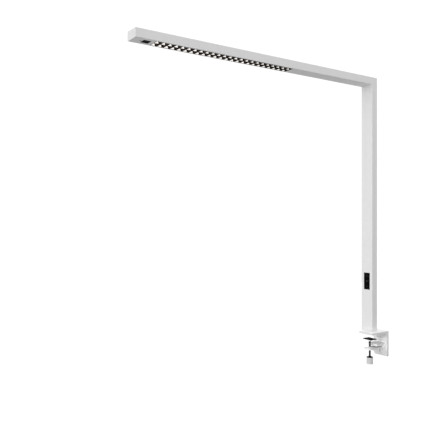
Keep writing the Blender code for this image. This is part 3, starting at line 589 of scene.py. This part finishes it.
def rib_edge():
    """Dark strip with chamfered lower corners, which closes the rib's lower edge."""
    middle = ROW_LOW + ROW_WIDTH + RIB_WIDTH / 2
    half = RIB_WIDTH / 2 + RIB_STRIP_LAP
    bottom = LOUVRE_LOW.z
    top = bottom + RIB_STRIP_DEPTH
    outline = [
        (middle - half, top),
        (middle - half, bottom + RIB_STRIP_EDGE),
        (middle - half + RIB_STRIP_EDGE, bottom),
        (middle + half - RIB_STRIP_EDGE, bottom),
        (middle + half, bottom + RIB_STRIP_EDGE),
        (middle + half, top),
    ]
    bm = extrude_x(bmesh.new(), outline, LOUVRE_START, LOUVRE_END)
    add_piece("louvre_rib_edge", bm, "reflector", "stand", sharp=30.0, finish_name="louvre_blade")


def cross_blades():
    """Dark bars across each row, with rounded lower edges and flanks that flare upwards."""
    bm = bmesh.new()
    bite = 0.00015                 # how far a blade runs into the reflectors
    for row in range(CELL_ROWS):
        y_low, y_high = row_edges(row)
        for i in range(CELL_COUNT + 1):
            centre = LOUVRE_LOW.x + i * CELL_PITCH
            sections = []
            for level in LEVELS:
                half = blade_half(level)
                x_low = max(centre - half, LOUVRE_START)
                x_high = min(centre + half, LOUVRE_END)
                inset = lean(level) - bite
                z = LOUVRE_LOW.z + BLADE_LIFT + min(level, LOUVRE_HEIGHT - BLADE_LIFT - REFLECTOR_GAP)
                sections.append([
                    (x_low, y_low + inset, z),
                    (x_high, y_low + inset, z),
                    (x_high, y_high - inset, z),
                    (x_low, y_high - inset, z),
                ])
            loft(bm, sections)
    add_piece(
        "louvre_cross_blades", bm, "reflector", "stand",
        replaced=("louvre_grid",), sharp=40.0, finish_name="louvre_blade")


def rectangle(low, high, inset, z):
    return [
        (low.x + inset, low.y + inset, z),
        (high.x - inset, low.y + inset, z),
        (high.x - inset, high.y - inset, z),
        (low.x + inset, high.y - inset, z),
    ]


def louvre_rail():
    """Thin frame round the louvre, flush with the arm's underside."""
    bm = bmesh.new()
    bottom = LOUVRE_LOW.z
    chamfer = 0.0003
    shapes = [
        rectangle(LOUVRE_LOW, LOUVRE_HIGH, 0.0, bottom + chamfer),
        rectangle(LOUVRE_LOW, LOUVRE_HIGH, chamfer, bottom),
        rectangle(LOUVRE_LOW, LOUVRE_HIGH, RAIL_WIDTH - chamfer, bottom),
        rectangle(LOUVRE_LOW, LOUVRE_HIGH, RAIL_WIDTH, bottom + chamfer),
        rectangle(LOUVRE_LOW, LOUVRE_HIGH, RAIL_WIDTH, bottom + RAIL_DEPTH),
        rectangle(LOUVRE_LOW, LOUVRE_HIGH, 0.0, bottom + RAIL_DEPTH),
    ]
    rings = [[bm.verts.new(point) for point in shape] for shape in shapes]
    for first, second in zip(rings, rings[1:] + rings[:1]):
        join_rings(bm, first, second)
    add_piece("louvre_rail", bm, "reflector", "stand", sharp=30.0, finish_name="louvre_rail")


# ---------------------------------------------------------------- clamp

def clamp_castings():
    refine("clamp_bracket", "clamp_bracket_casting", "white_paint", CASTING_EDGE, 3)
    refine("lower_jaw", "lower_jaw_casting", "white_paint", CASTING_EDGE, 3)
    refine("jaw_washer_plate", "jaw_washer_pressing", "zinc_steel", THIN_EDGE)
    refine("desk_liner", "desk_liner_pad", "rubber", PLATE_EDGE)


def thread_radius(height, angle, depth):
    """Radius of a right-hand metric thread at a height and an angle."""
    phase = (height / THREAD_PITCH - angle / (2 * math.pi)) % 1.0
    from_crest = abs(phase - 0.5) * 2
    crest = 0.16
    root = 0.78
    fall = min(1.0, max(0.0, (from_crest - crest) / (root - crest)))
    return SPINDLE_R - depth * fall


def spindle():
    """Threaded clamp screw with a neck and a ball at its top."""
    ball_z = SPINDLE_HIGH.z - BALL_R
    shoulder = ball_z - SHOULDER_BELOW_BALL
    thread_end = COLLAR_HIGH.z - THREAD_SINK
    rows = int((shoulder - thread_end) / (THREAD_PITCH / ROWS_PER_TURN))
    chamfer = 0.0004
    stations = [
        (0.0, SPINDLE_LOW.z),
        (SPINDLE_R - chamfer, SPINDLE_LOW.z),
        (SPINDLE_R, SPINDLE_LOW.z + chamfer),
        (SPINDLE_R, thread_end - 0.0003),
    ]
    for row in range(rows + 1):
        height = thread_end + (shoulder - thread_end) * row / rows
        from_end = min(height - thread_end, shoulder - height)
        depth = THREAD_DEPTH * min(1.0, from_end / THREAD_PITCH)
        stations.append((lambda angle, h=height, d=depth: thread_radius(h, angle, d), height))
    fillet = 0.0006
    stations.append((SPINDLE_R - fillet, shoulder + chamfer))
    stations += arc(NECK_R + fillet, shoulder + chamfer + fillet, fillet, 270, 180, 4)
    neck_angle = math.degrees(math.asin(NECK_R / BALL_R)) - 90
    stations += arc(0.0, ball_z, BALL_R, neck_angle, 84, 12)
    stations.append((0.0, SPINDLE_HIGH.z))
    thread = lathe(stations, THREAD_STEPS)
    add_piece("spindle_thread", thread, "black_steel", "screw", replaced=("spindle",), sharp=50.0)


def thread_bush():
    """Bush with a chamfered bore and a softly rounded upper rim."""
    low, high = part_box("thread_insert")
    outer = high.x
    bore = SPINDLE_BORE
    chamfer = 0.0005
    rim = 0.0009
    stations = [
        (bore, low.z + chamfer), (bore + chamfer, low.z), (outer - chamfer, low.z), (outer, low.z + chamfer),
        (outer, high.z - rim), (outer - 0.0002, high.z - 0.0004), (outer - rim, high.z),
        (bore + chamfer, high.z), (bore, high.z - chamfer),
    ]
    bush = lathe(stations, closed=True)
    add_piece("thread_insert_bush", bush, "zinc_steel", "jaw", replaced=("thread_insert",), sharp=30.0)


def knob():
    """Cylindrical knob with shallow grip flutes, rounded ends and a ring groove in its underside."""
    radius = KNOB_HIGH.x
    top = KNOB_HIGH.z
    bottom = KNOB_LOW.z
    bore = SPINDLE_BORE
    chamfer = 0.0004
    groove = 0.0003

    def fluted(share):
        return lambda angle: radius - FLUTE_DEPTH * share * (0.5 - 0.5 * math.cos(KNOB_FLUTES * angle))

    stations = [(0.0, bottom), (radius * 0.55, bottom), (radius * 0.6, bottom + groove)]
    stations += [(radius * 0.66, bottom + groove), (radius * 0.7, bottom)]
    stations += arc(radius - KNOB_EDGE, bottom + KNOB_EDGE, KNOB_EDGE, 270, 360, 5)
    flutes_low = bottom + 0.0022
    flutes_high = top - 0.0030
    # Height along the flutes, and the share of their depth that they have there
    shares = ((0.0, 0.0), (0.03, 0.5), (0.08, 1.0), (0.5, 1.0), (0.92, 1.0), (0.97, 0.5), (1.0, 0.0))
    for along, share in shares:
        stations.append((fluted(share), flutes_low + (flutes_high - flutes_low) * along))
    stations += arc(radius - KNOB_EDGE, top - KNOB_EDGE, KNOB_EDGE, 0, 90, 5)
    stations += [(bore + chamfer, top), (bore, top - chamfer)]
    stations += [(bore, top - KNOB_SOCKET_DEPTH), (0.0, top - KNOB_SOCKET_DEPTH)]
    grip = lathe(stations, KNOB_STEPS)
    add_piece("knob_grip", grip, "knob_plastic", "screw", replaced=("clamp_knob",), sharp=32.0)


def collar():
    """Flange on the knob that sweeps up into a narrow neck."""
    flange = COLLAR_HIGH.x
    bottom = COLLAR_LOW.z
    top = COLLAR_HIGH.z
    low_edge = 0.0004
    high_edge = 0.0006
    stations = [(SPINDLE_BORE, bottom)]
    stations += arc(flange - low_edge, bottom + low_edge, low_edge, 270, 360, 3)
    stations += arc(flange - high_edge, bottom + 0.0018, high_edge, 0, 70, 4)
    sweep_low = bottom + 0.0028
    sweep_high = top - 0.0008
    sweep_out = flange - 0.0022 - COLLAR_NECK
    sweep_steps = 8
    for i in range(sweep_steps + 1):
        along = i / sweep_steps
        radius = COLLAR_NECK + sweep_out * (1 - along) ** 3.2
        stations.append((radius, sweep_low + (sweep_high - sweep_low) * along))
    stations += arc(COLLAR_NECK - high_edge, top - high_edge, high_edge, 0, 90, 3)
    stations.append((SPINDLE_BORE, top))
    cone = lathe(stations, closed=True)
    add_piece("collar_cone", cone, "black_plastic", "screw", replaced=("knob_collar",), sharp=40.0)


def ribbed_facing():
    """Rubber facing with ribs along X."""
    low = FACING_LOW
    high = FACING_HIGH
    pitch = (high.y - low.y) / PAD_RIBS
    valley = high.z - PAD_GROOVE
    outline = [(low.y, low.z), (low.y, valley)]
    for i in range(PAD_RIBS):
        start = low.y + i * pitch
        outline += [
            (start + 0.15 * pitch, valley),
            (start + 0.28 * pitch, high.z),
            (start + 0.72 * pitch, high.z),
            (start + 0.85 * pitch, valley),
        ]
    outline += [(high.y, valley), (high.y, low.z)]
    return extrude_x(bmesh.new(), outline, low.x, high.x)


def pad_rivet():
    """Flat rivet with a dimple, which sits in the middle of the facing."""
    top = FACING_HIGH.z + 0.0001
    bottom = FACING_HIGH.z - 0.0007
    dimple = FACING_HIGH.z - 0.0003
    radius = 0.0034
    return lathe([
        (0.0, bottom), (radius, bottom), (radius, FACING_HIGH.z - 0.0001), (radius - 0.0003, top),
        (0.0016, top), (0.0012, dimple), (0.0, dimple),
    ])


def pad():
    refine("pressure_pad", "pressure_pad_plate", "black_steel", THIN_EDGE)
    add_piece("pad_facing_ribs", ribbed_facing(), "rubber", "pad", replaced=("pad_facing",), sharp=30.0)
    add_piece("pad_rivet", pad_rivet(), "black_steel", "pad", sharp=30.0)
    refine("pad_socket", "pad_socket_cup", "zinc_steel", THIN_EDGE)


# ---------------------------------------------------------------- fasteners

SCREW_STEPS = 36               # points round a screw
SMALL_HEX = 0.00125            # half the width across a small hexagon socket's flats


def hex_ring(bm, radius, height, steps):
    """Hexagon drawn with the same count of points as the rings round it."""
    points = []
    for i in range(steps):
        angle = 2 * math.pi * i / steps
        sector = (angle + math.pi / 6) % (math.pi / 3) - math.pi / 6
        reach = radius / math.cos(sector)
        points.append(bm.verts.new((reach * math.cos(angle), reach * math.sin(angle), height)))
    return points


def socket_screw(name, node, stations, origin, turn, socket_r, socket_depth, head_z=0.0):
    """Screw with a hexagon socket. stations run from the tip to the head's top edge."""
    bm = bmesh.new()
    floor_z = head_z - socket_depth
    rings = [ring_at(bm, height, radius, SCREW_STEPS) for radius, height in stations]
    rings.append(hex_ring(bm, socket_r * 1.08, head_z, SCREW_STEPS))
    rings.append(hex_ring(bm, socket_r, head_z - 0.0002, SCREW_STEPS))
    rings.append(hex_ring(bm, socket_r, floor_z, SCREW_STEPS))
    rings.append([bm.verts.new((0.0, 0.0, floor_z - 0.0003))])
    for first, second in zip(rings, rings[1:]):
        join_rings(bm, first, second)
    move(bm, origin, turn)
    slot = "black_steel" if "grub" in node else "zinc_steel"
    add_piece(name, bm, slot, body_of(node), replaced=(node,), sharp=30.0)


def node_centre(node):
    low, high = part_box(node)
    return (low + high) / 2


TO_X = Matrix.Rotation(math.radians(90), 3, "Y")
TO_NEAR = Matrix.Rotation(math.radians(90), 3, "X")
TO_DOWN = Matrix.Rotation(math.radians(180), 3, "Y")


def flat_screw(node, name, facing):
    """Flat-headed screw, whose head's outer face is at the node's outer end."""
    low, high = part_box(node)
    centre = node_centre(node)
    head_r = 0.0035
    shank_r = 0.0020
    head_t = 0.0019
    edge = 0.0002
    tip = 0.0004
    length = {"up": high.z - low.z, "down": high.z - low.z, "rear": high.x - low.x}[facing]
    origin = {
        "up": Vector((centre.x, centre.y, high.z)),
        "down": Vector((centre.x, centre.y, low.z)),
        "rear": Vector((high.x, centre.y, centre.z)),
    }[facing]
    turn = {"up": None, "down": TO_DOWN, "rear": TO_X}[facing]
    stations = [
        (0.0, -length), (shank_r - tip, -length), (shank_r, -length + tip), (shank_r, -head_t),
        (head_r - edge, -head_t), (head_r, -head_t + edge), (head_r, -edge), (head_r - edge, 0.0),
    ]
    socket_screw(name, node, stations, origin, turn, socket_r=SMALL_HEX, socket_depth=0.0012)


def round_head_screw(node, name):
    """Screw with a domed head at the node's rear end."""
    low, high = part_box(node)
    centre = node_centre(node)
    shank_r = 0.0025
    head_r = 0.0042
    head_t = 0.0028
    dome = head_t / 2
    edge = 0.0002
    tip = 0.0004
    shank = high.x - low.x - head_t
    stations = [(0.0, -shank), (shank_r - tip, -shank), (shank_r, tip - shank), (shank_r, 0.0)]
    stations += [(head_r - edge, 0.0), (head_r, edge), (head_r, head_t - dome)]
    stations += arc(head_r - dome, head_t - dome, dome, 0, 80, 5)
    origin = Vector((high.x - head_t, centre.y, centre.z))
    socket_screw(name, node, stations, origin, TO_X, socket_r=0.00155, socket_depth=0.0016, head_z=head_t)


def grub_stations(radius, length, tip):
    """Headless screw from its chamfered tip to its outer edge."""
    edge = 0.0002
    return [
        (0.0, -length), (radius - tip, -length), (radius, -length + tip),
        (radius, -edge), (radius - edge, 0.0),
    ]


def rear_grub(node, name):
    """Grub screw driven in from the rear."""
    low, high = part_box(node)
    centre = node_centre(node)
    stations = grub_stations(0.0024, high.x - low.x, 0.0006)
    origin = Vector((high.x, centre.y, centre.z))
    socket_screw(name, node, stations, origin, TO_X, socket_r=SMALL_HEX, socket_depth=0.0020)


def near_grub(node, name):
    """Grub screw driven in from the near side."""
    low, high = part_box(node)
    centre = node_centre(node)
    stations = grub_stations(high.x - centre.x, high.y - low.y, 0.0004)
    origin = Vector((centre.x, low.y, centre.z))
    socket_screw(name, node, stations, origin, TO_NEAR, socket_r=0.0008, socket_depth=0.0012)


def fasteners():
    for i in (1, 2):
        flat_screw(f"corner_screw_{i}", f"corner_screw_head_{i}", "up")
        flat_screw(f"corner_screw_{i + 2}", f"corner_screw_head_{i + 2}", "rear")
        flat_screw(f"foot_screw_{i}", f"foot_screw_head_{i}", "down")
        round_head_screw(f"jaw_screw_{i}", f"jaw_screw_head_{i}")
        rear_grub(f"foot_grub_{i}", f"foot_grub_screw_{i}")
    near_grub("edge_grub", "edge_grub_screw")


# ---------------------------------------------------------------- controls and sensors

MARK_T = 0.00008
MARK_SINK = 0.00003            # how far a mark starts below the panel's face
RING_R = 0.0034
RING_WIDTH = 0.0008
DOT_R = 0.0030
MARK_SHARES = (0.82, 0.50, 0.18)    # heights of the ring, dot and bar, as shares of the panel's
TO_FRONT = Matrix.Rotation(math.radians(-90), 3, "Y")


def round_mark(centre, radius, ring=0.0):
    """Thin disc facing -X, or a ring of the given width."""
    chamfer = MARK_T * 0.4
    shoulder = MARK_T - chamfer
    stations = [(radius, 0.0), (radius, shoulder), (radius - chamfer, MARK_T)]
    if ring:
        inner = radius - ring
        stations += [(inner + chamfer, MARK_T), (inner, shoulder), (inner, 0.0)]
        bm = lathe(stations, closed=True)
    else:
        bm = lathe([(0.0, 0.0)] + stations + [(0.0, MARK_T)])
    return move(bm, centre, TO_FRONT)


def bar_mark(centre):
    """Thin bar along Y with round ends."""
    reach = 0.0024
    slim = 0.0007
    outline = []
    for i in range(12):
        angle = math.radians(15 + 30 * i)
        end = math.copysign(reach, math.cos(angle))
        outline.append((centre.y + end + slim * math.cos(angle), centre.z + slim * math.sin(angle)))
    return extrude_x(bmesh.new(), outline, centre.x - MARK_T, centre.x)


def touch_mark(name, bm):
    add_piece(name, bm, "black_glass", "stand", sharp=30.0, finish_name="touch_mark")


def touch_panel():
    """Glossy panel with three generic marks: a ring, a dot and a bar."""
    refine("touch_panel", "touch_panel_glass", "black_glass", THIN_EDGE)
    face = PANEL_LOW.x + MARK_SINK
    middle_y = (PANEL_LOW.y + PANEL_HIGH.y) / 2
    height = PANEL_HIGH.z - PANEL_LOW.z
    centres = [Vector((face, middle_y, PANEL_LOW.z + height * share)) for share in MARK_SHARES]
    touch_mark("touch_mark_ring", round_mark(centres[0], RING_R, RING_WIDTH))
    touch_mark("touch_mark_dot", round_mark(centres[1], DOT_R))
    touch_mark("touch_mark_bar", bar_mark(centres[2]))


def light_sensor():
    """Small lens in a groove, with a rim round it."""
    low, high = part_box("light_sensor")
    centre = node_centre("light_sensor")
    radius = high.x - centre.x
    height = high.z - low.z
    stations = [
        (0.0, 0.0004), (radius * 0.35, 0.00045), (radius * 0.6, 0.0007), (radius * 0.66, 0.0007),
        (radius * 0.7, 0.0001), (radius * 0.92, 0.0), (radius, 0.0002), (radius, height), (0.0, height),
    ]
    bm = move(lathe(stations), Vector((centre.x, centre.y, low.z)))
    add_piece("light_sensor_lens", bm, "black_plastic", "stand", replaced=("light_sensor",), sharp=40.0)


def presence_sensor():
    """Metal can with a rounded lower edge."""
    low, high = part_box("presence_sensor")
    centre = node_centre("presence_sensor")
    radius = high.x - centre.x
    edge = 0.0005
    stations = [(0.0, low.z)] + arc(radius - edge, low.z + edge, edge, 270, 360, 4)
    stations += [(radius, high.z - 0.0006), (radius - 0.0001, high.z), (0.0, high.z)]
    bm = move(lathe(stations), Vector((centre.x, centre.y, 0.0)))
    add_piece("presence_sensor_can", bm, "zinc_steel", "stand", replaced=("presence_sensor",), sharp=40.0)


def sensors():
    refine("sensor_window", "sensor_window_glass", "black_glass", THIN_EDGE, finish_name="window_black")
    light_sensor()
    presence_sensor()


def power_inlet():
    """Round socket that opens downwards, with a pin in its middle."""
    low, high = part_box("power_inlet")
    centre = node_centre("power_inlet")
    place = Vector((centre.x, centre.y, 0.0))
    outer = high.x - centre.x
    inner = 0.0028
    chamfer = 0.0003
    floor_z = high.z - 0.0020
    stations = [
        (inner, low.z + chamfer), (inner + chamfer, low.z),
        (outer - chamfer, low.z), (outer, low.z + chamfer),
        (outer, high.z), (0.0, high.z), (0.0, floor_z), (inner, floor_z), (inner, low.z + chamfer),
    ]
    barrel = move(lathe(stations), place)
    bmesh.ops.remove_doubles(barrel, verts=barrel.verts, dist=0.000001)
    add_piece("power_inlet_barrel", barrel, "black_plastic", "stand", replaced=("power_inlet",), sharp=30.0)
    tip = 0.0005
    pin_r = 0.00105
    pin_low = low.z + 0.0030
    pin_high = floor_z + 0.0001
    stations = [(0.0, pin_low)] + arc(pin_r - tip, pin_low + tip, tip, 270, 360, 4)
    stations += [(pin_r, pin_high), (0.0, pin_high)]
    pin = move(lathe(stations, 24), place)
    add_piece("power_inlet_pin", pin, "zinc_steel", "stand", sharp=30.0)
    refine("inlet_cap", "inlet_cap_cover", "black_plastic", THIN_EDGE)


# ---------------------------------------------------------------- inner pieces

def led_packages():
    """Two rows of small LED packages on the boards, one pair over each cell."""
    bm = bmesh.new()
    board_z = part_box("led_board_1")[0].z
    half = 0.0014
    chamfer = 0.0003
    height = 0.00025
    sections = ((half, board_z), (half, board_z - height * 0.6), (half - chamfer, board_z - height))
    for row in range(CELL_ROWS):
        y = sum(row_edges(row)) / 2
        for i in range(CELL_COUNT):
            x = LOUVRE_LOW.x + (i + 0.5) * CELL_PITCH
            squares = []
            for s, z in sections:
                squares.append([(x - s, y - s, z), (x + s, y - s, z), (x + s, y + s, z), (x - s, y + s, z)])
            loft(bm, squares)
    add_piece("led_packages", bm, "opal_optic", "stand", sharp=30.0)


def inner_pieces():
    refine("corner_bracket", "corner_bracket_block", "bare_aluminium", BLOCK_EDGE)
    refine("foot_block", "foot_block_insert", "bare_aluminium", BLOCK_EDGE)
    refine("heat_channel", "heat_channel_profile", "bare_aluminium", THIN_EDGE)
    refine("led_driver", "led_driver_case", "driver_case", THIN_EDGE)
    refine("swivel_bush", "swivel_bush_ring", "nylon", NYLON_EDGE)
    plain = {
        "optic_strip": "opal_optic",
        "led_board_1": "led_board",
        "led_board_2": "led_board",
        "touch_board": "circuit_board",
        "sensor_board": "circuit_board",
        "supply_lead": "wire_sleeve",
        "led_lead": "wire_sleeve",
        "sensor_lead": "wire_sleeve",
    }
    for node, slot in plain.items():
        nodes[node].data.materials.clear()
        nodes[node].data.materials.append(MATERIALS[slot])
    led_packages()


# ---------------------------------------------------------------- studio

def floor():
    """Plain pale floor that sends no bounced light, reflection or shadow to the lamp."""
    bm = bmesh.new()
    bmesh.ops.create_grid(bm, x_segments=4, y_segments=4, size=FLOOR_SIZE / 2)
    bmesh.ops.translate(bm, verts=bm.verts, vec=(0.0, 0.0, FLOOR_LEVEL))
    mesh = bpy.data.meshes.new("studio_floor")
    bm.to_mesh(mesh)
    bm.free()
    matt_white = finish(
        "studio_floor", (0.92, 0.92, 0.92), 0.004, (0.75, 0.85), 40.0, (0.02, 0.0005),
        Specular_IOR_Level=0.1)
    mesh.materials.append(matt_white)
    plane = bpy.data.objects.new("studio_floor", mesh)
    plane.visible_diffuse = False
    plane.visible_glossy = False
    plane.visible_shadow = False
    bpy.context.scene.collection.objects.link(plane)


def studio_world():
    """White behind the object, and an even light with a few far soft boxes in it."""
    world = bpy.data.worlds.new("studio")
    bpy.context.scene.world = world
    world.use_nodes = True
    tree, links = world.node_tree.nodes, world.node_tree.links
    tree.clear()

    def math_node(operation, first, second):
        node = tree.new("ShaderNodeMath")
        node.operation = operation
        for socket, value in zip(node.inputs, (first, second)):
            if isinstance(value, float):
                socket.default_value = value
            else:
                links.new(value, socket)
        return node.outputs["Value"]

    coordinates = tree.new("ShaderNodeTexCoord")
    level = AMBIENT
    for direction, gather, strength in SOFT_BOXES:
        dot = tree.new("ShaderNodeVectorMath")
        dot.operation = "DOT_PRODUCT"
        dot.inputs[1].default_value = Vector(direction).normalized()
        links.new(coordinates.outputs["Generated"], dot.inputs[0])
        towards = math_node("MAXIMUM", dot.outputs["Value"], 0.0)
        lobe = math_node("MULTIPLY", math_node("POWER", towards, gather), strength)
        level = math_node("ADD", lobe, level)
    soft = tree.new("ShaderNodeBackground")
    white = tree.new("ShaderNodeBackground")
    path = tree.new("ShaderNodeLightPath")
    mix = tree.new("ShaderNodeMixShader")
    output = tree.new("ShaderNodeOutputWorld")
    links.new(level, soft.inputs["Strength"])
    links.new(path.outputs["Is Camera Ray"], mix.inputs["Fac"])
    links.new(soft.outputs["Background"], mix.inputs[1])
    links.new(white.outputs["Background"], mix.inputs[2])
    links.new(mix.outputs["Shader"], output.inputs["Surface"])
    soft.inputs["Color"].default_value = (1.0, 1.0, 1.0, 1.0)
    white.inputs["Color"].default_value = (1.0, 1.0, 1.0, 1.0)
    white.inputs["Strength"].default_value = BACKDROP


def area_light(name, location, target, size, power):
    light = bpy.data.lights.new(name, "AREA")
    light.shape = "DISK"
    light.size = size
    light.energy = power
    lamp = bpy.data.objects.new(name, light)
    lamp.location = location
    lamp.rotation_euler = (Vector(target) - Vector(location)).to_track_quat("-Z", "Y").to_euler()
    bpy.context.scene.collection.objects.link(lamp)
    return lamp


def camera():
    data = bpy.data.cameras.new("camera")
    data.lens = CAMERA_LENS
    data.sensor_width = 36.0
    data.clip_start = 0.01
    data.clip_end = 200.0
    eye = bpy.data.objects.new("camera", data)
    eye.location = CAMERA_PLACE
    eye.rotation_euler = Vector(CAMERA_DIRECTION).to_track_quat("-Z", "Y").to_euler()
    bpy.context.scene.collection.objects.link(eye)
    bpy.context.scene.camera = eye


def studio():
    scene = bpy.context.scene
    scene.view_settings.view_transform = "Standard"
    camera()
    floor()
    studio_world()
    area_light("key_light", KEY_PLACE, KEY_TARGET, KEY_SIZE, KEY_POWER)
    fill = area_light("clamp_fill", FILL_PLACE, FILL_TARGET, FILL_WIDTH, FILL_POWER)
    fill.data.shape = "ELLIPSE"
    fill.data.size_y = FILL_HEIGHT
    fill.data.spread = FILL_SPREAD


studio()
arm_and_column()
reflectors()
cross_blades()
rib_edge()
louvre_rail()
clamp_castings()
spindle()
thread_bush()
knob()
collar()
pad()
fasteners()
touch_panel()
sensors()
power_inlet()
inner_pieces()
